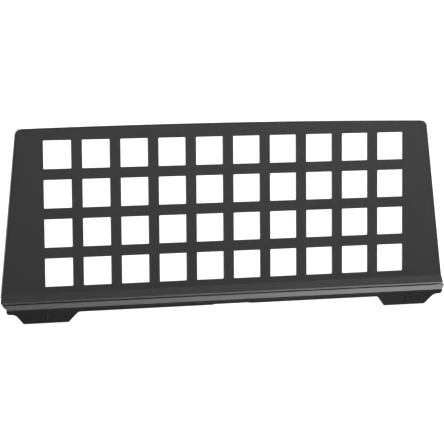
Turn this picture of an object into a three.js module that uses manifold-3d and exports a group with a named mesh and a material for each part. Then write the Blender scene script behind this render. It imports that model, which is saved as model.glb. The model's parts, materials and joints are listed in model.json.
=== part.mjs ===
// Music rest for a portable keyboard: a leaning panel with a grid of square windows, a page ledge
// with a lip in front of it, and a rail with two tabs that plug into the keyboard's sockets.
//
// Millimetres. +Z is up, +X is to the player's right, and +Y points away from the player.
// The origin is the middle of the rail's seat, the flat underside that stands on the keyboard.

import * as THREE from 'three';
import { mergeVertices } from 'three/addons/utils/BufferGeometryUtils.js';
import Module from 'manifold-3d';

const wasm = await Module();
wasm.setup();

// ---- Driving dimensions ---------------------------------------------------------------------

const pitch = 38;                 // from one window to the next, both ways
const columns = 10;
const rows = 4;
const windowSize = 27.5;
const windowCorner = 0.6;
const lean = THREE.MathUtils.degToRad(25);
const gap = 0.3;                  // between two pieces that touch

const plate = 3;                  // wall of the panel
const rimDepth = 6.5;             // front face to the back of the turned-back rim
const rimWall = 2.5;
const edgeRound = 1.4;
const panelCrown = 84.2;          // grid centre to the middle of the top edge
const panelShoulder = 82.0;       // grid centre to the ends of the top edge
const panelHalfWidth = 219.5;     // at the height of the grid centre
const sideTaper = 0.107;          // how much each side moves in for each millimetre up
const topCorner = 6;
const leastCorner = 1;

const crease = { y: 3.1, z: 13.3 };        // the panel's front face bends into the ledge here
const creaseToCentre = 76.8;
const facetFoot = { y: -2.9, z: 6.35 };    // the bent-forward facet turns down into the trough here
const footRound = 0.8;
const troughFront = -7.5;
const troughFloor = 5;
const crest = 8.9;                         // top of the lip
const crestWidth = 0.85;
const crestRound = 0.3;
const crestFall = 0.42;                    // from the crest down to the top of the lip's face
const endCrest = 8.5;                      // front of the solid ends of the ledge
const troughHalfLength = 217.6;            // at the trough's floor
const troughRamp = 8.4;                    // run of the slope at each end of the trough
const troughLimit = 226;                   // the slopes stop here, short of the ledge's ends
const blockHead = { y: -2.4, z: 6.2 };     // back of the solid ends' top, inside the facet's foot
const ledgeWall = 2;                       // from the facet's foot to the gussets' foot
const ledgeBevel = 1;
const ledgeFlare = { x: 229.1, up: -84.0 };    // widest point of the ledge's ends, on the panel
const ledgeEnd = { x: 224.7, up: -90.4 };      // foot of the ledge's ends, on the panel
const lipEnd = { foot: 223.9, crest: 227.1 };  // half the lip's length at its foot and its crest

const seatDepth = 24;             // the rail's base, front to back
const basePlate = 3;
const baseHalfLength = 218;
const baseCorner = 4;
const skirtHeight = 4.5;
const skirtWall = 2.6;
const railHalfLength = 224.7;
const railCorner = 3;
const notchHalfLength = 17.7;
const notchDepth = 0.7;
const notchRun = 2;

const tabCentre = 185.25;
const tabFoot = 44.1;             // length of a tab's bottom edge
const tabDrop = 11.4;
const tabThickness = 7;
const tabWall = 2.2;
const tabFlank = THREE.MathUtils.degToRad(52);     // slope of a tab's two ends
const tabFillet = { inner: 4, outer: 8 };
const tabSlot = { width: 2.2, top: -1.4, bottom: -8.4, depth: 1 };
const tabCorner = 0.5;            // chamfer at the ends of a tab's bottom edge
const tabFlankTop = 1;            // the tabs' flanks end this far below the seat

const ribWall = 2;
const ribDepth = 5.5;             // front face to the back of the ribs behind the bars
const heelY = 11.5;               // back of the gussets that stand on the rail
const cheekX = 217;               // the outermost gussets, which close the ends

const screwXs = [-205, -133, -57, 57, 133, 205];
const screwY = 6;
const screwRadius = 1.5;
const screwLength = 10;
const headRadius = 2.8;
const headHeight = 1.4;
const headSunk = 0.2;             // how far the head lies above the seat
const driveWidth = 0.7;
const driveLength = 3.2;
const driveDepth = 1;
const screwPoint = { radius: 0.4, length: 1.5 };
const headRim = 0.3;              // height of the head's cylindrical rim
const beyond = 1;                 // how far a cutter runs past the face that it opens
const bossRadius = 3.5;
const bossTop = 14;

const roundSides = 24;            // facets of a full circle
const holeSides = 16;
const edgeSteps = 8;              // facets of each curve of the panel's edge
const bevelSteps = 3;
const windowSteps = 3;
const baseSteps = 6;
const arcSteps = 4;
const weld = 1e-4;                // vertices closer than this are one

// ---- Places worked out from the driving dimensions ------------------------------------------

const railFront = -seatDepth / 2;
const ledgeUnder = basePlate + gap;
const gridCentre = new THREE.Vector3(
  0,
  crease.y + creaseToCentre * Math.sin(lean),
  crease.z + creaseToCentre * Math.cos(lean)
);
const overall = 2 * (ledgeFlare.x + beyond);      // longer than every piece
const wellClear = 30;              // deeper than any part of the ledge, from the panel's face

const axisX = new THREE.Vector3(1, 0, 0);
const axisY = new THREE.Vector3(0, 1, 0);
const axisZ = new THREE.Vector3(0, 0, 1);
const panelUp = new THREE.Vector3(0, Math.sin(lean), Math.cos(lean));
const panelForward = new THREE.Vector3(0, -Math.cos(lean), Math.sin(lean));

// Sketch planes: a sketch's x, y and depth become the three directions given.
const onPanel = new THREE.Matrix4().makeBasis(axisX, panelUp, panelForward).setPosition(gridCentre);
const acrossX = new THREE.Matrix4().makeBasis(axisY, axisZ, axisX);
const facingFront = new THREE.Matrix4().makeBasis(axisX, axisZ, axisY.clone().negate());

// ---- Solids ---------------------------------------------------------------------------------

function solid(geometry) {
  const bare = geometry.clone();
  bare.deleteAttribute('normal');
  bare.deleteAttribute('uv');
  const merged = mergeVertices(bare, weld);
  return new wasm.Manifold(new wasm.Mesh({
    numProp: 3,
    vertProperties: new Float32Array(merged.attributes.position.array),
    triVerts: new Uint32Array(merged.index.array)
  }));
}

function union(solids) {
  return solids.reduce((whole, next) => whole.add(next));
}

function toGeometry(body) {
  const mesh = body.getMesh();
  const geometry = new THREE.BufferGeometry();
  geometry.setAttribute('position', new THREE.BufferAttribute(mesh.vertProperties, 3));
  geometry.setIndex(new THREE.BufferAttribute(mesh.triVerts, 1));
  geometry.computeVertexNormals();
  return geometry;
}

function outlineShape(points) {
  return new THREE.Shape(points.map(([x, y]) => new THREE.Vector2(x, y)));
}

// A sketch raised from one depth to another on a sketch plane.
function raised(shape, from, to, plane, curveSegments = arcSteps) {
  const geometry = new THREE.ExtrudeGeometry(shape, { depth: to - from, bevelEnabled: false, curveSegments });
  geometry.translate(0, 0, from);
  return solid(geometry.applyMatrix4(plane));
}

function blockOnPanel(x0, x1, up0, up1, forward0, forward1) {
  return raised(outlineShape([[x0, up0], [x1, up0], [x1, up1], [x0, up1]]), forward0, forward1, onPanel);
}

function box(x0, x1, y0, y1, z0, z1) {
  const geometry = new THREE.BoxGeometry(x1 - x0, y1 - y0, z1 - z0);
  return solid(geometry.translate((x0 + x1) / 2, (y0 + y1) / 2, (z0 + z1) / 2));
}

// A sketch of the cross-section (y, z), swept along X.
function swept(points, x0, x1) {
  return raised(outlineShape(points), x0, x1, acrossX);
}

function uprightCylinder(radius, x, y, z0, z1, sides = roundSides) {
  const geometry = new THREE.CylinderGeometry(radius, radius, z1 - z0, sides);
  return solid(geometry.rotateX(Math.PI / 2).translate(x, y, (z0 + z1) / 2));
}

// ---- Outlines drawn on the panel --------------------------------------------------------------

function sideAt(up, inset) {
  return panelHalfWidth - inset - sideTaper * up;
}

// The panel's outline above a given level, with a crowned top edge and rounded shoulders.
function panelOutline(bottom, inset) {
  const corner = Math.max(topCorner - inset, leastCorner);
  const shoulder = panelShoulder - inset;
  const crown = panelCrown - inset;
  const shoulderX = sideAt(shoulder, inset);
  const shape = new THREE.Shape();
  shape.moveTo(-sideAt(bottom, inset), bottom);
  shape.lineTo(sideAt(bottom, inset), bottom);
  shape.lineTo(sideAt(shoulder - corner, inset), shoulder - corner);
  shape.quadraticCurveTo(shoulderX, shoulder, shoulderX - corner, shoulder);
  shape.quadraticCurveTo(0, 2 * crown - shoulder, corner - shoulderX, shoulder);
  shape.quadraticCurveTo(-shoulderX, shoulder, -sideAt(shoulder - corner, inset), shoulder - corner);
  shape.closePath();
  return shape;
}

// The ends of the ledge and its lip: straight on from the sides, then drawn in below the flare.
function ledgeTrim() {
  const low = ledgeEnd.up - wellClear;
  const high = 0;
  const outline = outlineShape([
    [-ledgeEnd.x, low], [ledgeEnd.x, low],
    [ledgeEnd.x, ledgeEnd.up], [ledgeFlare.x, ledgeFlare.up],
    [sideAt(-creaseToCentre, 0), -creaseToCentre], [sideAt(high, 0), high],
    [-sideAt(high, 0), high], [-sideAt(-creaseToCentre, 0), -creaseToCentre],
    [-ledgeFlare.x, ledgeFlare.up], [-ledgeEnd.x, ledgeEnd.up]
  ]);
  return raised(outline, -wellClear, wellClear, onPanel);
}

function windowOutline(x, up) {
  const half = windowSize / 2;
  const inner = half - windowCorner;
  const shape = new THREE.Shape();
  shape.absarc(x + inner, up + inner, windowCorner, 0, Math.PI / 2);
  shape.absarc(x - inner, up + inner, windowCorner, Math.PI / 2, Math.PI);
  shape.absarc(x - inner, up - inner, windowCorner, Math.PI, 1.5 * Math.PI);
  shape.absarc(x + inner, up - inner, windowCorner, 1.5 * Math.PI, 2 * Math.PI);
  return shape;
}

// ---- Panel ------------------------------------------------------------------------------------

// The plate and its turned-back rim, with rounded outer edges.
function plateAndRim() {
  const bottom = -creaseToCentre - plate;
  const outer = new THREE.ExtrudeGeometry(panelOutline(bottom, 0), {
    depth: rimDepth - 2 * edgeRound,
    bevelThickness: edgeRound,
    bevelSize: edgeRound,
    bevelOffset: -edgeRound,
    bevelSegments: bevelSteps,
    curveSegments: edgeSteps
  });
  outer.translate(0, 0, edgeRound - rimDepth);
  const hollow = panelOutline(bottom - plate, rimWall);
  return solid(outer.applyMatrix4(onPanel))
    .subtract(raised(hollow, -rimDepth - beyond, -plate, onPanel, edgeSteps));
}

function windowCutters() {
  const cutters = [];
  for (let row = 0; row < rows; row += 1) {
    for (let column = 0; column < columns; column += 1) {
      const x = (column - (columns - 1) / 2) * pitch;
      const up = (row - (rows - 1) / 2) * pitch;
      cutters.push(raised(windowOutline(x, up), -rimDepth - beyond, beyond, onPanel, windowSteps));
    }
  }
  return wasm.Manifold.compose(cutters);
}

// The facet below the crease, and the trough that the pages stand in.
function ledge() {
  const back = { y: crease.y + plate * Math.cos(lean), z: crease.z - plate * Math.sin(lean) };
  const slope = Math.atan2(crease.z - facetFoot.z, crease.y - facetFoot.y);
  const reach = footRound * Math.tan((Math.PI / 2 - slope) / 2);
  const wallBack = facetFoot.y + ledgeWall;
  return swept([
    [back.y, back.z], [wallBack + ledgeBevel, ledgeUnder + ledgeBevel], [wallBack, ledgeUnder],
    [troughFront, ledgeUnder], [troughFront, troughFloor], [facetFoot.y, troughFloor],
    [facetFoot.y, facetFoot.z - reach],
    [facetFoot.y + reach * Math.cos(slope), facetFoot.z + reach * Math.sin(slope)],
    [crease.y, crease.z]
  ], -overall / 2, overall / 2);
}

// A solid end of the ledge. It rises out of the trough in a slope and meets the lip's crest.
function ledgeEndBlock(side) {
  const [x0, x1] = side < 0 ? [-overall / 2, -troughHalfLength] : [troughHalfLength, overall / 2];
  const block = swept([
    [facetFoot.y + ledgeWall, ledgeUnder], [blockHead.y, blockHead.z],
    [troughFront, endCrest], [troughFront, ledgeUnder]
  ], x0, x1);
  const foot = troughFloor - gap;
  const steepness = (crest - troughFloor) / troughRamp;
  const limitZ = foot + (troughLimit - troughHalfLength) * steepness;
  const clear = side * (troughHalfLength - beyond);
  const aboveSlope = outlineShape([
    [clear, foot], [side * troughHalfLength, foot], [side * troughLimit, limitZ],
    [side * troughLimit, crest + beyond], [clear, crest + beyond]
  ]);
  return block.subtract(raised(aboveSlope, -facetFoot.y, -troughFront + beyond, facingFront));
}

// Ribs behind the bars between the windows.
function barRibs() {
  const ribs = [];
  const top = panelShoulder - rimWall / 2;
  for (let line = -columns / 2; line <= columns / 2; line += 1) {
    const x = line * pitch;
    ribs.push(blockOnPanel(x - ribWall / 2, x + ribWall / 2, -creaseToCentre, top, -ribDepth, -plate / 2));
  }
  for (let line = 1 - rows / 2; line < rows / 2; line += 1) {
    const up = line * pitch;
    const reach = sideAt(up, rimWall / 2);
    ribs.push(blockOnPanel(-reach, reach, up - ribWall / 2, up + ribWall / 2, -ribDepth, -plate / 2));
  }
  return ribs;
}

// Gussets that carry the panel's lean down to the rail, one behind each rib and one at each end.
function gussets() {
  const middle = plate / 2;
  const creaseMiddle = [crease.y + middle * Math.cos(lean), crease.z - middle * Math.sin(lean)];
  const heelTop = crease.z + (heelY - crease.y) / Math.tan(lean) - middle / Math.sin(lean);
  const profile = [
    [facetFoot.y + ledgeWall, ledgeUnder], [heelY, ledgeUnder], [heelY, heelTop],
    creaseMiddle, [facetFoot.y + ledgeWall / 2, facetFoot.z - ledgeWall / 2]
  ];
  const places = [-cheekX, cheekX];
  for (let line = -columns / 2; line <= columns / 2; line += 1) {
    places.push(line * pitch);
  }
  return places.map((x) => swept(profile, x - ribWall / 2, x + ribWall / 2));
}

function screwBosses() {
  const inFront = blockOnPanel(-overall / 2, overall / 2, -2 * pitch * rows, 0, -plate / 2, 2 * wellClear);
  const bosses = screwXs.map((x) => uprightCylinder(bossRadius, x, screwY, ledgeUnder, bossTop));
  return union(bosses).subtract(inFront);
}

function pilotHoles() {
  const radius = screwRadius + gap;
  const top = screwLength + headSunk + gap;
  return union(screwXs.map((x) => uprightCylinder(radius, x, screwY, ledgeUnder - beyond, top, holeSides)));
}

function latticePanel() {
  const lower = union([ledge(), ledgeEndBlock(-1), ledgeEndBlock(1)]).intersect(ledgeTrim());
  return union([plateAndRim(), lower, ...barRibs(), ...gussets(), screwBosses()])
    .subtract(windowCutters())
    .subtract(pilotHoles());
}

// ---- Lip --------------------------------------------------------------------------------------

// The strip in front of the trough, with a tongue held between the ledge and the rail's skirt.
function pageLip() {
  const inner = troughFront - gap;
  const tongueFront = railFront + skirtWall + gap;
  const strip = swept([
    [railFront, skirtHeight + gap], [tongueFront, skirtHeight + gap], [tongueFront, ledgeUnder],
    [inner, ledgeUnder], [inner, crest - crestRound], [inner - crestRound, crest],
    [inner - crestWidth, crest - crestRound / 2], [inner - crestWidth - crestRound, crest - crestFall]
  ], -overall / 2, overall / 2);
  const right = [
    [lipEnd.foot, ledgeUnder - beyond], [lipEnd.foot, skirtHeight],
    [lipEnd.crest, crest], [lipEnd.crest, crest + beyond]
  ];
  const ends = outlineShape([...mirrored(right), ...right]);
  return strip.intersect(raised(ends, -troughFront - beyond, -railFront + beyond, facingFront));
}

// ---- Rail -------------------------------------------------------------------------------------

// A concave or convex arc of a sketch, which starts along +x and turns by the angle given.
function arcPoints(x, z, radius, angle, hand) {
  return Array.from({ length: arcSteps + 1 }, (_, step) => {
    const turn = (step / arcSteps) * angle;
    return [x + radius * Math.sin(turn), z + hand * radius * (1 - Math.cos(turn))];
  });
}

function mirrored(points) {
  return points.map(([x, z]) => [-x, z]).reverse();
}

// Half of the outline of a skirt with its tab, from the middle of the skirt to its end.
function skirtHalfPoints() {
  const inner = tabCentre - tabFoot / 2;
  const outer = tabCentre + tabFoot / 2;
  const flankRun = tabDrop / Math.tan(tabFlank);
  const start = (radius) => flankRun + radius * Math.tan(tabFlank / 2);
  const intoTab = arcPoints(inner - start(tabFillet.inner), 0, tabFillet.inner, tabFlank, -1);
  const outOfTab = mirrored(arcPoints(-outer - start(tabFillet.outer), 0, tabFillet.outer, tabFlank, -1));
  return [
    [0, notchDepth], [notchHalfLength, notchDepth], [notchHalfLength + notchRun, 0],
    ...intoTab,
    [inner - tabCorner, tabCorner - tabDrop], [inner + tabCorner, -tabDrop],
    [outer - tabCorner, -tabDrop], [outer + tabCorner, tabCorner - tabDrop],
    ...outOfTab,
    ...arcPoints(railHalfLength - railCorner, 0, railCorner, Math.PI / 2, 1),
    [railHalfLength, skirtHeight]
  ];
}

function skirt() {
  const right = skirtHalfPoints();
  const left = mirrored(right.slice(1));
  return raised(outlineShape([...left, ...right]), 0, skirtWall, facingFront)
    .translate(0, railFront + skirtWall, 0);
}

function base() {
  const back = seatDepth / 2;
  const front = railFront + skirtWall / 2;
  const shape = new THREE.Shape();
  shape.moveTo(-baseHalfLength, front);
  shape.lineTo(baseHalfLength, front);
  shape.lineTo(baseHalfLength, back - baseCorner);
  shape.absarc(baseHalfLength - baseCorner, back - baseCorner, baseCorner, 0, Math.PI / 2);
  shape.absarc(baseCorner - baseHalfLength, back - baseCorner, baseCorner, Math.PI / 2, Math.PI);
  shape.closePath();
  return raised(shape, 0, basePlate, new THREE.Matrix4(), baseSteps);
}

// A plug-in tab: thick, cored out from behind, with an upright slot in the middle of its front.
function tab(side) {
  const half = tabFoot / 2;
  const middle = side * tabCentre;
  const back = railFront + tabThickness;
  const reach = half + (tabDrop - tabFlankTop) / Math.tan(tabFlank);
  const block = raised(outlineShape([
    [middle - half, -tabDrop], [middle + half, -tabDrop],
    [middle + reach, -tabFlankTop], [middle + reach, basePlate / 2],
    [middle - reach, basePlate / 2], [middle - reach, -tabFlankTop]
  ]), 0, tabThickness, facingFront).translate(0, back, 0);
  const coreTop = -tabWall / 2;
  const coreBottom = tabWall - tabDrop;
  const nearSlot = tabSlot.width / 2 + tabWall;
  const cores = [-1, 1].map((hand) => {
    const x0 = middle + hand * nearSlot;
    const x1 = middle + hand * (half - tabWall);
    return box(Math.min(x0, x1), Math.max(x0, x1), railFront + skirtWall, back + beyond, coreBottom, coreTop);
  });
  return block.subtract(union(cores));
}

function tabSlotCutter(side) {
  const middle = side * tabCentre;
  const half = tabSlot.width / 2;
  const back = railFront + tabSlot.depth;
  return box(middle - half, middle + half, railFront - beyond, back, tabSlot.bottom, tabSlot.top);
}

function countersink(x) {
  const radius = headRadius + gap;
  const depth = headHeight + headSunk + gap;
  const bore = screwRadius + gap;
  const top = basePlate + beyond;
  const profile = [[0, -beyond], [radius, -beyond], [radius, headSunk], [bore, depth], [bore, top], [0, top]];
  const geometry = new THREE.LatheGeometry(profile.map(([r, z]) => new THREE.Vector2(r, z)), roundSides);
  return solid(geometry.rotateX(Math.PI / 2).translate(x, screwY, 0));
}

function tabRail() {
  return union([skirt(), base(), tab(-1), tab(1)])
    .subtract(union([tabSlotCutter(-1), tabSlotCutter(1)]))
    .subtract(union(screwXs.map(countersink)));
}

// ---- Screws -----------------------------------------------------------------------------------

// A countersunk self-tapping screw with a cross drive, head down.
function railScrew() {
  const top = headSunk + screwLength;
  const profile = [
    [0, headSunk], [headRadius, headSunk], [headRadius, headSunk + headRim],
    [screwRadius, headSunk + headHeight], [screwRadius, top - screwPoint.length],
    [screwPoint.radius, top], [0, top]
  ];
  const geometry = new THREE.LatheGeometry(profile.map(([r, z]) => new THREE.Vector2(r, z)), roundSides);
  const w = driveWidth / 2;
  const l = driveLength / 2;
  const cross = union([
    box(-w, w, -l, l, headSunk - beyond, headSunk + driveDepth),
    box(-l, l, -w, w, headSunk - beyond, headSunk + driveDepth)
  ]);
  return solid(geometry.rotateX(Math.PI / 2)).subtract(cross);
}

// ---- Assembly ---------------------------------------------------------------------------------

const texturedPlastic = { color: 0x2b2b2c, roughness: 0.62, metalness: 0 };
const smoothPlastic = { color: 0x2d2d2e, roughness: 0.38, metalness: 0 };
const railPlastic = { color: 0x262627, roughness: 0.55, metalness: 0 };
const blackedSteel = { color: 0x2a2a2c, roughness: 0.4, metalness: 0.9 };

function piece(name, body, finish) {
  const mesh = new THREE.Mesh(toGeometry(body), new THREE.MeshStandardMaterial(finish));
  mesh.name = name;
  return mesh;
}

const musicRest = new THREE.Group();
musicRest.add(piece('lattice_panel', latticePanel(), texturedPlastic));
musicRest.add(piece('page_lip', pageLip(), smoothPlastic));
musicRest.add(piece('tab_rail', tabRail(), railPlastic));

const screw = railScrew();
screwXs.forEach((x, index) => {
  const mesh = piece(`rail_screw_${index + 1}`, screw, blackedSteel);
  mesh.position.set(x, screwY, 0);
  musicRest.add(mesh);
});

export default musicRest;
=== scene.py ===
"""Finished model of a keyboard's music rest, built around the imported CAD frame.

Sketches are in millimetres, in the CAD model's own directions: +X to the player's right, +Y away
from the player, +Z up. They become metres when a mesh is made.
"""

import json
import math

import bmesh
import bpy
from mathutils import Matrix, Vector


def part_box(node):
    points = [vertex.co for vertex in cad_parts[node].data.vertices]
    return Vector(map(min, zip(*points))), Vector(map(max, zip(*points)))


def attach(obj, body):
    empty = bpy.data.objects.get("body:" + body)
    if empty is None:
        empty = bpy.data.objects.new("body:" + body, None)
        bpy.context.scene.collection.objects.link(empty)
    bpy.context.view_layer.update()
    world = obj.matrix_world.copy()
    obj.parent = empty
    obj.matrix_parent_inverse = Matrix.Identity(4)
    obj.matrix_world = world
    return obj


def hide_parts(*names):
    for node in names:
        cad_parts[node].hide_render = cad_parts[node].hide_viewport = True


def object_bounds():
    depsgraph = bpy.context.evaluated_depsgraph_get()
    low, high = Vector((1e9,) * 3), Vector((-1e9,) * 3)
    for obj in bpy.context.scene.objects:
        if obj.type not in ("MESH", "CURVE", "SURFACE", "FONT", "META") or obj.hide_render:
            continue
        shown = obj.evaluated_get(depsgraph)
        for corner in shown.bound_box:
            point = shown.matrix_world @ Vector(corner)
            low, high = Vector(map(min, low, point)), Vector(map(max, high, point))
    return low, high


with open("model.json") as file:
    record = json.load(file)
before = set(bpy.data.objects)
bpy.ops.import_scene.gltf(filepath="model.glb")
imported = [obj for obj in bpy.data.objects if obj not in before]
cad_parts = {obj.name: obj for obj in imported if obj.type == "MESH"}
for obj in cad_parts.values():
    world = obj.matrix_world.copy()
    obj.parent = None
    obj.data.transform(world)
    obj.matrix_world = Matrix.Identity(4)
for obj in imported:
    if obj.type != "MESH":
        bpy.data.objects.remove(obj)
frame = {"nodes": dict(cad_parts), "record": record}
cad_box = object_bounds()

MM = 0.001

# ---- The frame's own places --------------------------------------------------------------------

mounts = {mount["name"]: mount for mount in frame["record"]["mounts"]}
panel_centre = Vector(mounts["page_face"]["pos_m"]) / MM
panel_forward = Vector(mounts["page_face"]["axis"])
across = Vector((1.0, 0.0, 0.0))
panel_up = panel_forward.cross(across)
lean_sin = panel_up.y
lean_cos = panel_up.z
screw_nodes = sorted(name for name in frame["nodes"] if name.startswith("rail_screw"))

# ---- Driving dimensions, in millimetres --------------------------------------------------------

pitch = 38.0
columns = 10
rows = 4
window_size = 27.5
window_corner = 0.6
window_round = 0.25
window_back_round = 0.4

plate = 3.0
rim_depth = 6.25
rim_wall = 2.5
rim_round = 0.8
edge_round = 1.4
panel_crown = 84.15
panel_shoulder = 82.0
panel_half_width = 219.5
side_taper = 0.107
top_corner = 6.0
least_corner = 1.0
crown_steps = 16

crease = (3.1, 13.3)
crease_to_centre = 76.8
facet_foot = (-2.9, 6.35)
foot_round = 0.8
strip_width = 1.5
strip_step = 0.12
trough_front = -7.5
trough_floor = 5.0
crest = 8.9
end_crest = 8.5
trough_half_length = 217.6
trough_ramp = 8.4
trough_limit = 226.0
trough_round = 0.5
block_head = (-2.4, 6.2)
ledge_wall = 2.0
ledge_bevel = 1.0
bevel_round = 0.6
end_round = 0.8
flare_x = 229.1
flare_up = -84.0
ledge_end_x = 224.7
ledge_end_up = -90.4
lip_foot_x = 223.9
lip_crest_x = 227.1
lip_foot_round = 0.25
crest_width = 0.85
crest_back_round = 0.3
crest_front_round = 0.4

seat_depth = 24.0
base_plate = 3.0
base_half_length = 218.0
base_corner = 4.0
base_round = 0.4
skirt_height = 4.5
skirt_wall = 2.6
skirt_round = 0.45
rail_half_length = 224.7
rail_corner = 3.0
notch_half_length = 17.7
notch_ramp = 2.0
notch_depth = 0.7

tab_centre = 185.25
tab_foot = 44.1
tab_drop = 11.4
tab_thickness = 7.0
tab_wall = 2.2
tab_flank = math.radians(52)
tab_inner_fillet = 4.0
tab_outer_fillet = 8.0
tab_round = 0.6
flank_top = 1.0
slot_width = 2.2
slot_top = -1.4
slot_bottom = -8.4
slot_depth = 1.0

rib_wall = 2.0
rib_depth = 5.5
rib_round = 0.5
gusset_round = 0.4
heel_y = 11.5
heel_round = 0.8
cheek_x = 217.0
boss_radius = 3.5
boss_top = 14.0
screw_radius = 1.5
screw_top = 10.2
head_radius = 2.8
head_depth = 1.6
seat_rim = 0.2
gap = 0.3

rail_front = -seat_depth / 2
ledge_under = base_plate + gap
flank_slope = math.tan(tab_flank)

# How finely arcs and circles are divided, and how far a cutter runs past what it cuts.
arc_steps = 4
circle_sides = 32
cutter_excess = 1.0


# ---- Sketch planes: a sketch's u, v and depth become a place in the frame ----------------------

def on_panel(u, v, depth):
    return panel_centre + across * u + panel_up * v + panel_forward * depth


def across_x(u, v, depth):
    return Vector((depth, u, v))


def facing_front(u, v, depth):
    return Vector((u, rail_front - depth, v))


def lying_flat(u, v, depth):
    return Vector((u, v, depth))


# ---- Outlines ----------------------------------------------------------------------------------

def outline(points):
    return [Vector(point) for point in points]


def rectangle(left, bottom, right, top):
    return outline([(left, bottom), (right, bottom), (right, top), (left, top)])


def circle(u, v, radius):
    angles = [2 * math.pi * side / circle_sides for side in range(circle_sides)]
    return [Vector((u + radius * math.cos(angle), v + radius * math.sin(angle))) for angle in angles]


def left_normal(start, end):
    direction = (end - start).normalized()
    return Vector((-direction.y, direction.x))


def inset(loop, distance):
    """The loop moved to its left-hand side, where the material is."""
    moved = []
    for index, point in enumerate(loop):
        before = left_normal(loop[index - 1], point)
        after = left_normal(point, loop[(index + 1) % len(loop)])
        moved.append(point + (before + after) * (distance / (1.0 + before.dot(after))))
    return moved


def filleted(corners):
    """A closed outline from (u, v, radius) corners, each rounded by an arc."""
    places = [Vector(corner[:2]) for corner in corners]
    loop = []
    for index, corner in enumerate(corners):
        place = places[index]
        radius = corner[2]
        if radius == 0:
            loop.append(place)
            continue
        back = (places[index - 1] - place).normalized()
        ahead = (places[(index + 1) % len(places)] - place).normalized()
        half_angle = back.angle(ahead) / 2
        reach = radius / math.tan(half_angle)
        centre = place + (back + ahead).normalized() * (radius / math.sin(half_angle))
        start = place + back * reach - centre
        end = place + ahead * reach - centre
        turn = start.angle_signed(end)
        for step in range(arc_steps + 1):
            angle = -turn * step / arc_steps
            loop.append(centre + Matrix.Rotation(angle, 2) @ start)
    return loop


def side_at(up, inward=0.0):
    return panel_half_width - inward - side_taper * up


def panel_edge(bottom, inward=0.0):
    """The panel's edge from its lower right corner, over the crowned top, to its lower left."""
    shoulder = panel_shoulder - inward
    crown = panel_crown - inward
    corner = max(top_corner - inward, least_corner)
    shoulder_x = side_at(shoulder, inward)
    corners = [(side_at(bottom, inward), bottom, 0.0), (shoulder_x, shoulder, corner)]
    for step in range(1, crown_steps):
        share = 1.0 - 2.0 * step / crown_steps
        rise = (crown - shoulder) * (1.0 - share * share)
        corners.append((share * shoulder_x, shoulder + rise, 0.0))
    corners += [(-shoulder_x, shoulder, corner), (-side_at(bottom, inward), bottom, 0.0)]
    return filleted(corners)


def window_loop(u, v):
    half = window_size / 2
    around = [(u - half, v - half), (u - half, v + half), (u + half, v + half), (u + half, v - half)]
    return filleted([(*corner, window_corner) for corner in around])


def end_x(u, v):
    """Half the rest's length at a place in its cross-section: flared at the ledge, then drawn in."""
    up = (u - panel_centre.y) * lean_sin + (v - panel_centre.z) * lean_cos
    if up > flare_up:
        return side_at(up)
    share = min((flare_up - up) / (flare_up - ledge_end_up), 1.0)
    return flare_x + (ledge_end_x - flare_x) * share


def near_end_x(u, v):
    return -end_x(u, v)


def lip_end_x(u, v):
    """Half the lip's length at a height: its ends draw in towards its foot."""
    share = (v - skirt_height) / (crest - skirt_height)
    return lip_foot_x + (lip_crest_x - lip_foot_x) * max(share, 0.0)


def near_lip_end_x(u, v):
    return -lip_end_x(u, v)


# ---- Solids ------------------------------------------------------------------------------------

def quarter_arc(radius):
    """(inset, distance from the end) along a rounded edge, from the end face to the side."""
    if radius == 0:
        return [(0.0, 0.0)]
    angles = [math.pi / 2 * step / arc_steps for step in range(arc_steps + 1)]
    return [(radius * (1 - math.sin(angle)), radius * (1 - math.cos(angle))) for angle in angles]


def depth_at(depth, point):
    return depth(point.x, point.y) if callable(depth) else depth


def add_slab(mesh, loops, low, high, place, low_rounds=(0.0,), high_rounds=(0.0,)):
    """A closed solid between two depths. The first loop is its outline and the others are holes.

    Each end has one rounding for the outline and, where given, a second one for the holes.
    """
    low_edges = []
    high_edges = []
    for index, loop in enumerate(loops):
        low_round = low_rounds[min(index, len(low_rounds) - 1)]
        high_round = high_rounds[min(index, len(high_rounds) - 1)]
        stations = [(shift, low, away) for shift, away in quarter_arc(low_round)]
        stations += [(shift, high, -away) for shift, away in reversed(quarter_arc(high_round))]
        rings = []
        for shift, end, away in stations:
            moved = inset(loop, shift) if shift else loop
            depths = [depth_at(end, point) + away for point in loop]
            rings.append([
                mesh.verts.new(place(point.x, point.y, depth) * MM)
                for point, depth in zip(moved, depths)
            ])
        count = len(loop)
        for first, second in zip(rings, rings[1:]):
            for start in range(count):
                end = (start + 1) % count
                mesh.faces.new((first[start], first[end], second[end], second[start]))
        for ring, edges in ((rings[0], low_edges), (rings[-1], high_edges)):
            edges += [mesh.edges.get((ring[start - 1], ring[start])) for start in range(count)]
    for edges in (low_edges, high_edges):
        bmesh.ops.triangle_fill(mesh, use_beauty=True, use_dissolve=False, edges=edges)


def to_object(mesh, name):
    """A new object made of a finished mesh, with every face turned outwards."""
    bmesh.ops.recalc_face_normals(mesh, faces=mesh.faces)
    data = bpy.data.meshes.new(name)
    mesh.to_mesh(data)
    mesh.free()
    made = bpy.data.objects.new(name, data)
    bpy.context.scene.collection.objects.link(made)
    return made


def solid(name, *slabs):
    """A mesh object of slabs that don't touch one another."""
    mesh = bmesh.new()
    for slab in slabs:
        add_slab(mesh, *slab)
    return to_object(mesh, name)


def combine(whole, other, operation):
    """Adds another solid to this one, or cuts it away, and removes the other."""
    modifier = whole.modifiers.new(operation, "BOOLEAN")
    modifier.operation = operation
    modifier.object = other
    modifier.solver = "MANIFOLD"
    apply_modifiers(whole)
    bpy.data.objects.remove(other)


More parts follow.
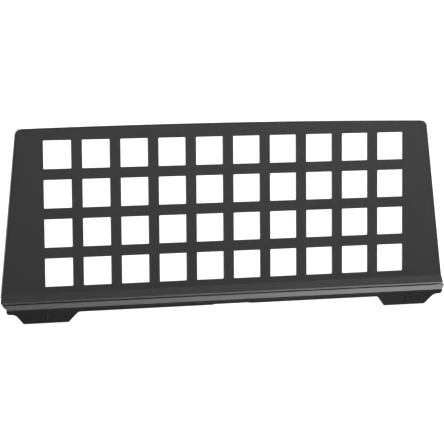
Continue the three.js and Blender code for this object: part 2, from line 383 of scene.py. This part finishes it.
def apply_modifiers(piece):
    bpy.context.view_layer.update()
    graph = bpy.context.evaluated_depsgraph_get()
    finished = bpy.data.meshes.new_from_object(piece.evaluated_get(graph))
    piece.modifiers.clear()
    old = piece.data
    piece.data = finished
    bpy.data.meshes.remove(old)


def smooth_rounds(piece):
    """Smooth shading over the rounded edges, with the flat faces kept flat."""
    largest_bend = math.radians(40)
    favour_large_faces = 100
    piece.data.shade_smooth()
    piece.data.set_sharp_from_angle(angle=largest_bend)
    weighted = piece.modifiers.new("flat faces stay flat", "WEIGHTED_NORMAL")
    weighted.keep_sharp = True
    weighted.weight = favour_large_faces
    apply_modifiers(piece)


# ---- Materials ---------------------------------------------------------------------------------

def moulded_plastic(name, colour, roughness, specular, grain_size, grain_height, mottle):
    """Black moulded plastic: a spark-eroded grain, a faint mottle, and uneven gloss."""
    mottle_scale = 22.0
    mottle_detail = 4.0
    mottle_range = (0.3, 0.7)
    grain_detail = 3.0
    gloss_swing = 0.05
    material = bpy.data.materials.new(name)
    material.use_nodes = True
    nodes = material.node_tree.nodes
    links = material.node_tree.links
    shader = nodes["Principled BSDF"]
    shader.inputs["Specular IOR Level"].default_value = specular
    place = nodes.new("ShaderNodeTexCoord").outputs["Object"]

    cloud = nodes.new("ShaderNodeTexNoise")
    cloud.inputs["Scale"].default_value = mottle_scale
    cloud.inputs["Detail"].default_value = mottle_detail
    links.new(place, cloud.inputs["Vector"])

    tone = nodes.new("ShaderNodeValToRGB")
    tone.color_ramp.elements[0].position = mottle_range[0]
    tone.color_ramp.elements[1].position = mottle_range[1]
    tone.color_ramp.elements[0].color = (*[part * (1 - mottle) for part in colour], 1.0)
    tone.color_ramp.elements[1].color = (*[part * (1 + mottle) for part in colour], 1.0)
    links.new(cloud.outputs["Fac"], tone.inputs["Fac"])
    links.new(tone.outputs["Color"], shader.inputs["Base Color"])

    grain = nodes.new("ShaderNodeTexNoise")
    grain.inputs["Scale"].default_value = 1.0 / (grain_size * MM)
    grain.inputs["Detail"].default_value = grain_detail
    links.new(place, grain.inputs["Vector"])

    gloss = nodes.new("ShaderNodeMapRange")
    gloss.inputs["To Min"].default_value = roughness - gloss_swing
    gloss.inputs["To Max"].default_value = roughness + gloss_swing
    links.new(grain.outputs["Fac"], gloss.inputs["Value"])
    links.new(gloss.outputs["Result"], shader.inputs["Roughness"])

    bump = nodes.new("ShaderNodeBump")
    bump.inputs["Strength"].default_value = 1.0
    bump.inputs["Distance"].default_value = grain_height * MM
    links.new(grain.outputs["Fac"], bump.inputs["Height"])
    links.new(bump.outputs["Normal"], shader.inputs["Normal"])
    return material


def blacked_steel():
    """Black zinc on steel, with a fine patina in its gloss."""
    colour = (0.11, 0.11, 0.12, 1.0)
    patina_scale = 900.0
    roughness_range = (0.28, 0.5)
    material = bpy.data.materials.new("blacked_steel")
    material.use_nodes = True
    nodes = material.node_tree.nodes
    links = material.node_tree.links
    shader = nodes["Principled BSDF"]
    shader.inputs["Metallic"].default_value = 1.0
    shader.inputs["Base Color"].default_value = colour
    place = nodes.new("ShaderNodeTexCoord").outputs["Object"]
    patina = nodes.new("ShaderNodeTexNoise")
    patina.inputs["Scale"].default_value = patina_scale
    links.new(place, patina.inputs["Vector"])
    gloss = nodes.new("ShaderNodeMapRange")
    gloss.inputs["To Min"].default_value = roughness_range[0]
    gloss.inputs["To Max"].default_value = roughness_range[1]
    links.new(patina.outputs["Fac"], gloss.inputs["Value"])
    links.new(gloss.outputs["Result"], shader.inputs["Roughness"])
    return material


# ---- Panel -------------------------------------------------------------------------------------

def plate_with_windows():
    bottom = -crease_to_centre - plate
    loops = [panel_edge(bottom)]
    for row in range(rows):
        for column in range(columns):
            u = (column - (columns - 1) / 2) * pitch
            v = (row - (rows - 1) / 2) * pitch
            loops.append(window_loop(u, v))
    back_rounds = (0.0, window_back_round)
    front_rounds = (edge_round, window_round)
    return solid("plate", (loops, -plate, 0.0, on_panel, back_rounds, front_rounds))


def rim():
    bottom = -crease_to_centre - plate
    path = panel_edge(bottom) + list(reversed(panel_edge(bottom, rim_wall)))
    return solid("rim", ([path], -rim_depth, -plate / 2, on_panel, (rim_round,), (0.0,)))


def strip_top():
    """Upper edge of the smooth strip along the facet's foot, a little behind the facet's line."""
    along = (Vector(crease) - Vector(facet_foot)).normalized()
    behind = Vector((along.y, -along.x))
    return Vector(facet_foot) + along * strip_width + behind * strip_step


def ledge():
    """The facet, the trough's floor and the wall behind them, joined into the plate above the crease."""
    into_plate = 1.0
    up_plate = 2.0
    back = crease[0] + plate * lean_cos, crease[1] - plate * lean_sin
    inside = (
        crease[0] + into_plate * lean_cos + up_plate * lean_sin,
        crease[1] - into_plate * lean_sin + up_plate * lean_cos,
    )
    wall_back = facet_foot[0] + ledge_wall
    loop = filleted([
        (trough_front, ledge_under, 0.0),
        (wall_back, ledge_under, 0.0),
        (wall_back + ledge_bevel, ledge_under + ledge_bevel, bevel_round),
        (*back, 0.0),
        (*inside, 0.0),
        (*crease, 0.0),
        (*strip_top(), 0.0),
        (*facet_foot, foot_round),
        (facet_foot[0], trough_floor, trough_round),
        (trough_front, trough_floor, 0.0),
    ])
    return solid("ledge", ([loop], near_end_x, end_x, across_x, (end_round,), (end_round,)))


def ramp_x(u, v):
    """Half the trough's length at a height: its ends slope out and up from the floor."""
    rise = (v - trough_floor) / (crest - trough_floor)
    return min(trough_half_length + trough_ramp * max(rise, 0.0), trough_limit)


def near_ramp_x(u, v):
    return -ramp_x(u, v)


def ledge_end_blocks():
    loop = outline([
        (trough_front, ledge_under), (facet_foot[0] + ledge_wall, ledge_under),
        block_head, (trough_front, end_crest),
    ])
    right = ([loop], ramp_x, end_x, across_x, (0.0,), (end_round,))
    left = ([loop], near_end_x, near_ramp_x, across_x, (end_round,), (0.0,))
    return solid("ledge_end_blocks", right, left)


def upright_ribs():
    top = panel_shoulder - rim_wall / 2
    slabs = []
    for line in range(-columns // 2, columns // 2 + 1):
        u = line * pitch
        bar = rectangle(u - rib_wall / 2, -crease_to_centre, u + rib_wall / 2, top)
        slabs.append(([bar], -rib_depth, -plate / 2, on_panel, (rib_round,), (0.0,)))
    return solid("upright_ribs", *slabs)


def level_ribs():
    slabs = []
    for line in range(1 - rows // 2, rows // 2):
        v = line * pitch
        reach = side_at(v, rim_wall / 2)
        bar = rectangle(-reach, v - rib_wall / 2, reach, v + rib_wall / 2)
        slabs.append(([bar], -rib_depth, -plate / 2, on_panel, (rib_round,), (0.0,)))
    return solid("level_ribs", *slabs)


def gussets():
    middle = plate / 2
    crease_middle = crease[0] + middle * lean_cos, crease[1] - middle * lean_sin
    heel_top = crease[1] + (heel_y - crease[0]) * lean_cos / lean_sin - middle / lean_sin
    profile = filleted([
        (facet_foot[0] + ledge_wall, ledge_under, 0.0),
        (heel_y, ledge_under, heel_round),
        (heel_y, heel_top, 0.0),
        (*crease_middle, 0.0),
        (facet_foot[0] + ledge_wall / 2, facet_foot[1] - ledge_wall / 2, 0.0),
    ])
    slabs = []
    under_ribs = [line * pitch for line in range(-columns // 2, columns // 2 + 1)]
    for u in [-cheek_x, cheek_x] + under_ribs:
        sides = (u - rib_wall / 2, u + rib_wall / 2)
        slabs.append(([profile], *sides, across_x, (gusset_round,), (gusset_round,)))
    return solid("gussets", *slabs)


def screw_places():
    places = []
    for node in screw_nodes:
        low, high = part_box(node)
        places.append(((low[0] + high[0]) / 2 / MM, (low[1] + high[1]) / 2 / MM))
    return places


def uprights(name, radius, low, high):
    return solid(name, *[([circle(u, v, radius)], low, high, lying_flat) for u, v in screw_places()])


def screw_bosses():
    """The screws' bosses, cut off where they would come out through the panel's front."""
    half = flare_x + cutter_excess
    far_forward = 60.0
    bosses = uprights("screw_bosses", boss_radius, ledge_under, boss_top)
    in_front = rectangle(-half, -rows * pitch, half, 0.0)
    combine(bosses, solid("in_front", ([in_front], -plate / 2, far_forward, on_panel)), "DIFFERENCE")
    return bosses


def lattice_panel():
    panel = plate_with_windows()
    additions = (
        rim(), ledge(), ledge_end_blocks(), upright_ribs(), level_ribs(), gussets(), screw_bosses(),
    )
    for addition in additions:
        combine(panel, addition, "UNION")
    pilot_holes = uprights("pilot_holes", screw_radius + gap, 0.0, screw_top + gap)
    combine(panel, pilot_holes, "DIFFERENCE")
    return panel


# ---- Lip ---------------------------------------------------------------------------------------

def page_lip():
    """The sloping strip in front of the trough, with a tongue between the ledge and the skirt."""
    inner = trough_front - gap
    tongue_front = rail_front + skirt_wall + gap
    corners = [
        (rail_front, skirt_height + gap, lip_foot_round), (tongue_front, skirt_height + gap, 0.0),
        (tongue_front, ledge_under, 0.0), (inner, ledge_under, 0.0),
        (inner, crest, crest_back_round), (inner - crest_width, crest, crest_front_round),
    ]
    loop = filleted(corners)
    return solid("lip", ([loop], near_lip_end_x, lip_end_x, across_x, (end_round,), (end_round,)))


# ---- Rail --------------------------------------------------------------------------------------

def skirt_loop():
    """The skirt and both tabs from the front, counter-clockwise from the lower left corner."""
    inner = tab_centre - tab_foot / 2
    outer = tab_centre + tab_foot / 2
    right = [
        (notch_half_length, notch_depth, 0.0), (notch_half_length + notch_ramp, 0.0, 0.0),
        (inner - tab_drop / flank_slope, 0.0, tab_inner_fillet), (inner, -tab_drop, tab_round),
        (outer, -tab_drop, tab_round), (outer + tab_drop / flank_slope, 0.0, tab_outer_fillet),
        (rail_half_length, 0.0, rail_corner), (rail_half_length, skirt_height, 0.0),
    ]
    left = [(-u, v, radius) for u, v, radius in reversed(right)]
    return filleted(left + right)


def tab_blocks():
    """What thickens the tabs behind the skirt."""
    half = tab_foot / 2
    reach = half + (tab_drop - flank_top) / flank_slope
    slabs = []
    for side in (-1, 1):
        u = side * tab_centre
        loop = filleted([
            (u - half, -tab_drop, tab_round), (u + half, -tab_drop, tab_round),
            (u + reach, -flank_top, 0.0), (u + reach, base_plate / 2, 0.0),
            (u - reach, base_plate / 2, 0.0), (u - reach, -flank_top, 0.0),
        ])
        slabs.append(([loop], -tab_thickness, -skirt_wall / 2, facing_front, (tab_round,), (0.0,)))
    return solid("tab_blocks", *slabs)


def tab_cores():
    """The two pockets that core each tab out from behind."""
    near = slot_width / 2 + tab_wall
    far = tab_foot / 2 - tab_wall
    slabs = []
    for side in (-1, 1):
        for hand in (-1, 1):
            left, right = sorted((side * tab_centre + hand * near, side * tab_centre + hand * far))
            corners = rectangle(left, tab_wall - tab_drop, right, -tab_wall / 2)
            loop = filleted([(*corner, tab_round) for corner in corners])
            slabs.append(([loop], -tab_thickness - cutter_excess, -skirt_wall, facing_front))
    return solid("tab_cores", *slabs)


def tab_grooves():
    """A shallow V groove up the middle of each tab's front."""
    half = slot_width / 2
    slabs = []
    for side in (-1, 1):
        middle = side * tab_centre
        loop = outline([
            (middle - half, rail_front), (middle, rail_front + slot_depth), (middle + half, rail_front),
            (middle + half, rail_front - cutter_excess), (middle - half, rail_front - cutter_excess),
        ])
        slabs.append(([loop], slot_bottom, slot_top, lying_flat))
    return solid("tab_grooves", *slabs)


def base():
    back = seat_depth / 2
    front = rail_front + skirt_wall / 2
    loop = filleted([
        (-base_half_length, front, 0.0), (base_half_length, front, 0.0),
        (base_half_length, back, base_corner), (-base_half_length, back, base_corner),
    ])
    return solid("base", ([loop], 0.0, base_plate, lying_flat, (base_round,), (base_round,)))


def countersinks():
    """Cone-shaped seats for the screw heads, cut from below."""
    cuts = bmesh.new()
    wide = head_radius + gap
    narrow = screw_radius + gap
    above = base_plate + cutter_excess
    profile = [
        (0.0, -cutter_excess), (wide, -cutter_excess), (wide, seat_rim),
        (narrow, head_depth + gap), (narrow, above), (0.0, above),
    ]
    for u, v in screw_places():
        rings = [[cuts.verts.new(place) for place in ring_places(u, v, profile[0])]]
        for station in profile[1:]:
            rings.append([cuts.verts.new(place) for place in ring_places(u, v, station)])
        for first, second in zip(rings, rings[1:]):
            close_ring(cuts, first, second)
    return to_object(cuts, "countersinks")


def ring_places(u, v, station):
    """The ring of a turned profile's station, or its one point where that lies on the axis."""
    radius, height = station
    if radius == 0:
        return [Vector((u, v, height)) * MM]
    return [Vector((point.x, point.y, height)) * MM for point in circle(u, v, radius)]


def close_ring(mesh, first, second):
    """The faces between two rings, one of which may be a single point."""
    count = max(len(first), len(second))
    for start in range(count):
        end = (start + 1) % count
        corners = [
            first[start % len(first)], first[end % len(first)],
            second[end % len(second)], second[start % len(second)],
        ]
        mesh.faces.new(list(dict.fromkeys(corners)))


def tab_rail():
    rail = solid("rail", ([skirt_loop()], -skirt_wall, 0.0, facing_front, (0.0,), (skirt_round,)))
    combine(rail, base(), "UNION")
    combine(rail, tab_blocks(), "UNION")
    for cutter in (tab_cores(), tab_grooves(), countersinks()):
        combine(rail, cutter, "DIFFERENCE")
    return rail


# ---- Camera, floor and light -------------------------------------------------------------------

def add_camera():
    """A long lens from the left and above, held a little tilted."""
    lens = 145.5
    sensor = 36.0
    aim_across = -0.0070
    aim_up = -0.0140
    aim = panel_centre * MM + across * aim_across + panel_up * aim_up
    distance = 1.7753
    heading = math.radians(18.65)
    pitch_down = math.radians(29.89)
    roll = math.radians(7.38)
    data = bpy.data.cameras.new("camera")
    data.lens = lens
    data.sensor_width = sensor
    camera = bpy.data.objects.new("camera", data)
    bpy.context.scene.collection.objects.link(camera)
    looking = Vector((
        math.sin(heading) * math.cos(pitch_down),
        math.cos(heading) * math.cos(pitch_down),
        -math.sin(pitch_down),
    ))
    level = looking.to_track_quat("-Z", "Y").to_matrix()
    turned = level @ Matrix.Rotation(roll, 3, "Z")
    camera.matrix_world = Matrix.Translation(aim - looking * distance) @ turned.to_4x4()
    bpy.context.scene.camera = camera


def add_floor():
    """A wide floor just under the tabs, kept white by its own glow and out of the rest's reflections."""
    size = 30.0
    clearance = 0.0002
    grey = (0.3, 0.3, 0.3, 1.0)
    white = (1.0, 1.0, 1.0, 1.0)
    glow = 0.9
    half = size / 2
    height = cad_box[0][2] - clearance
    corners = [(x * half, y * half, height) for x, y in ((-1, -1), (1, -1), (1, 1), (-1, 1))]
    data = bpy.data.meshes.new("floor")
    data.from_pydata(corners, [], [(0, 1, 2, 3)])
    floor = bpy.data.objects.new("floor", data)
    bpy.context.scene.collection.objects.link(floor)
    material = bpy.data.materials.new("pale_floor")
    material.use_nodes = True
    shader = material.node_tree.nodes["Principled BSDF"]
    shader.inputs["Base Color"].default_value = grey
    shader.inputs["Roughness"].default_value = 0.9
    shader.inputs["Specular IOR Level"].default_value = 0.1
    shader.inputs["Emission Color"].default_value = white
    shader.inputs["Emission Strength"].default_value = glow
    floor.visible_glossy = False
    floor.visible_diffuse = False
    floor.visible_shadow = False
    floor.data.materials.append(material)


def add_softbox(name, place, aim, size, power):
    """A rectangular area light at a place, turned towards its aim: metres and watts."""
    data = bpy.data.lights.new(name, "AREA")
    data.shape = "RECTANGLE"
    data.size, data.size_y = size
    data.energy = power
    light = bpy.data.objects.new(name, data)
    bpy.context.scene.collection.objects.link(light)
    light.location = place
    light.rotation_euler = (Vector(aim) - Vector(place)).to_track_quat("-Z", "Y").to_euler()


def add_lights():
    """Softboxes in front, at the left and behind, and others below for a pale floor's bounce."""
    room_light = 0.05
    middle = (0.0, 0.02, 0.06)
    add_softbox("right_front", (0.9, -1.05, 0.95), middle, (0.7, 0.5), 9.5)
    add_softbox("front_fill", (0.9, -1.6, 1.0), middle, (1.4, 0.5), 6.5)
    add_softbox("wide_front", (0.45, -1.0, 1.07), middle, (0.9, 0.4), 6.0)
    add_softbox("top_left", (-0.3, -1.7, 1.0), middle, (0.6, 0.4), 7.5)
    add_softbox("left_side", (-1.3, 0.05, 0.15), middle, (0.9, 0.9), 9.0)
    add_softbox("left_bounce", (-0.8, -0.4, -0.35), middle, (0.4, 0.4), 2.0)
    add_softbox("back_left", (-1.0, 1.5, 1.1), middle, (1.4, 0.8), 45.0)
    add_softbox("back_right", (1.1, 1.4, 0.8), middle, (1.0, 0.8), 30.0)
    add_softbox("back_bounce", (0.0, 0.45, -0.45), middle, (1.4, 0.7), 12.0)
    add_softbox("floor_bounce", (0.23, -0.55, -0.32), middle, (0.35, 0.25), 0.6)
    world = bpy.data.worlds.new("room")
    world.use_nodes = True
    background = world.node_tree.nodes["Background"]
    background.inputs["Color"].default_value = (1.0, 1.0, 1.0, 1.0)
    background.inputs["Strength"].default_value = room_light
    bpy.context.scene.world = world
    bpy.context.scene.view_settings.view_transform = "Standard"


# ---- Assembly ----------------------------------------------------------------------------------

def polish_strip(panel, material):
    """The smooth strip along the facet's foot, above the trough."""
    panel.data.materials.append(material)
    top = strip_top()
    margin = 0.05
    facing_forward = -0.3
    for face in panel.data.polygons:
        centre = face.center / MM
        in_strip = trough_floor + margin < centre.z < top.y + margin
        on_facet = facet_foot[0] - margin < centre.y < top.x + margin
        if in_strip and on_facet and face.normal.y < facing_forward:
            face.material_index = 1


def finish_piece(piece, name, node, material):
    piece.name = name
    piece.data.materials.clear()
    piece.data.materials.append(material)
    smooth_rounds(piece)
    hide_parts(node)
    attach(piece, "root")


textured = moulded_plastic(
    "textured_plastic", colour=(0.012, 0.012, 0.012), roughness=0.55, specular=0.32,
    grain_size=0.5, grain_height=0.03, mottle=0.12,
)
smooth = moulded_plastic(
    "smooth_plastic", colour=(0.014, 0.014, 0.014), roughness=0.34, specular=0.5,
    grain_size=1.6, grain_height=0.01, mottle=0.06,
)
dark = moulded_plastic(
    "rail_plastic", colour=(0.012, 0.012, 0.012), roughness=0.5, specular=0.35,
    grain_size=0.6, grain_height=0.02, mottle=0.10,
)
steel = blacked_steel()

add_camera()
panel = lattice_panel()
finish_piece(panel, "moulded_panel", "lattice_panel", textured)
polish_strip(panel, smooth)
finish_piece(page_lip(), "moulded_lip", "page_lip", smooth)
finish_piece(tab_rail(), "moulded_rail", "tab_rail", dark)
for node in screw_nodes:
    bpy.data.objects[node].data.materials.clear()
    bpy.data.objects[node].data.materials.append(steel)
add_floor()
add_lights()
